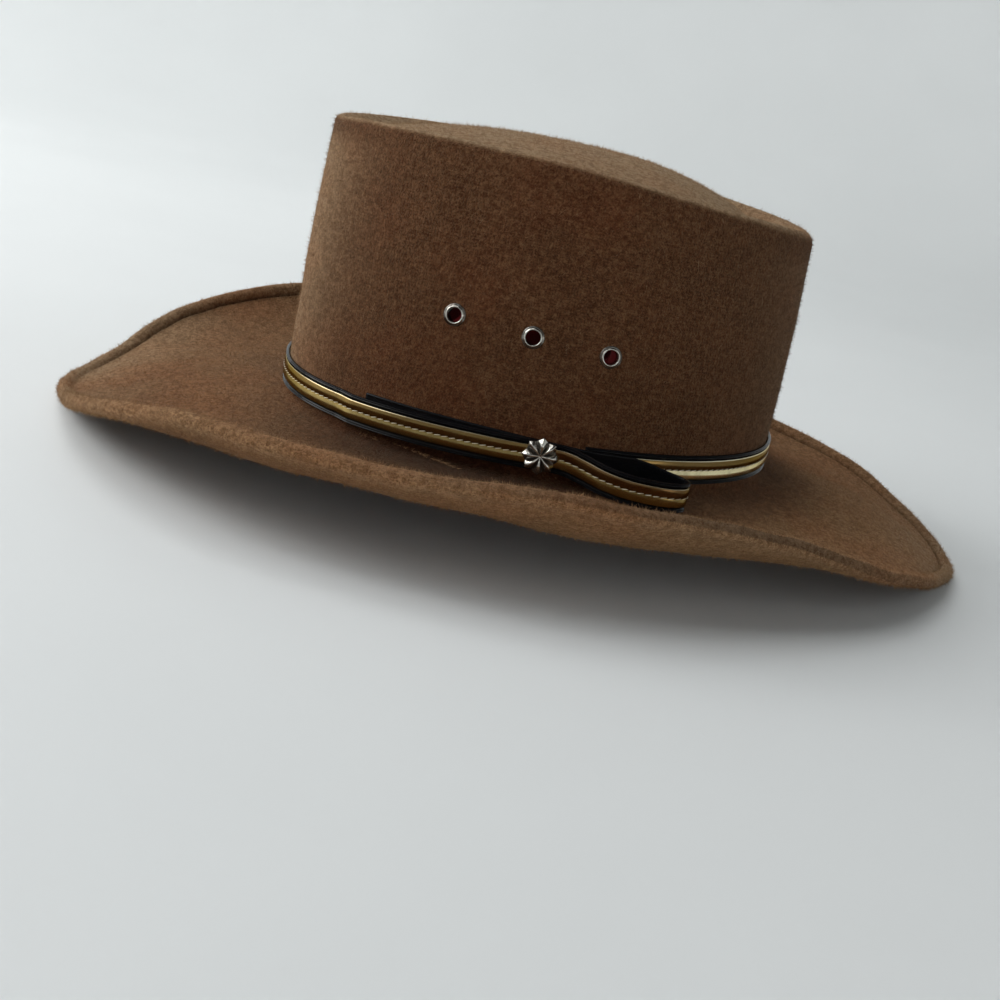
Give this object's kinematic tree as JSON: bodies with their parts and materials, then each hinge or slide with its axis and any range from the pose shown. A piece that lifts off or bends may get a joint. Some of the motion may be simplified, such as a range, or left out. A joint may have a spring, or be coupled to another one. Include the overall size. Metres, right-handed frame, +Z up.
{
  "type": "gambler hat",
  "caption": "Wool felt hat with a straight crown whose raised rim frames a domed top, and a brim curled up at the sides, dressed with a gold and black bow band and a star.",
  "frame": {"origin": "on the surface that the hat rests on, under the middle of the brim", "axes": "+Z up, -Y towards the front of the hat, +X towards the wearer's left"},
  "size_m": [0.3307, 0.4011, 0.1467],
  "materials": {
    "brown_felt": "matt wool felt with a short fuzzy nap",
    "red_lining": "satin lining cloth",
    "black_vinyl": "glossy vinyl",
    "gold_foil": "metallised gold vinyl, glossy, with fine streaks",
    "nickel": "plated, slightly worn"
  },
  "bodies": {
    "root": {"felt_body": "brown_felt", "lining": "red_lining", "band_backing": "black_vinyl", "band_gold_strip": "gold_foil", "bow_backing": "black_vinyl", "bow_gold_strip": "gold_foil", "star_concho": "nickel", "eyelet_1": "nickel", "eyelet_2": "nickel", "eyelet_3": "nickel"}
  },
  "joints": []
}
